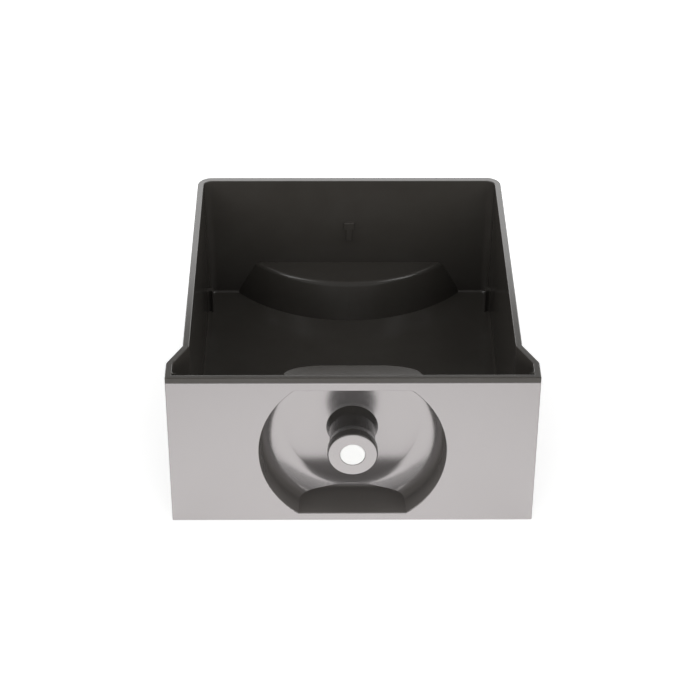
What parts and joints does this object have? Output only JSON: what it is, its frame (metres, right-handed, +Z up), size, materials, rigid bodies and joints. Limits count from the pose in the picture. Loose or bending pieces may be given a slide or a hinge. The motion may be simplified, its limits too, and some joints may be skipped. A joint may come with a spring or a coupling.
{
  "type": "coffee machine drip tray",
  "caption": "Open drip tray drawer with a silver front, a round finger recess with a pull knob, and a raised drum in the floor at the back.",
  "frame": {"origin": "on the table under the middle of the tray, at the centre of its overall width and depth", "axes": "+Z up, the silver front faces -Y, +X to the right seen from the front"},
  "size_m": [0.14, 0.153, 0.0664],
  "materials": {
    "dark_plastic": "glossy dark grey moulded plastic",
    "silver_finish": "satin silver-grey metallic lacquer on plastic",
    "white_plastic": "plain white plastic",
    "zinc_steel": "zinc-plated steel"
  },
  "bodies": {
    "root": {"tray_body": "dark_plastic", "front_panel": "silver_finish", "pull_knob": "silver_finish", "knob_cap": "white_plastic", "knob_screw": "zinc_steel"}
  },
  "joints": []
}
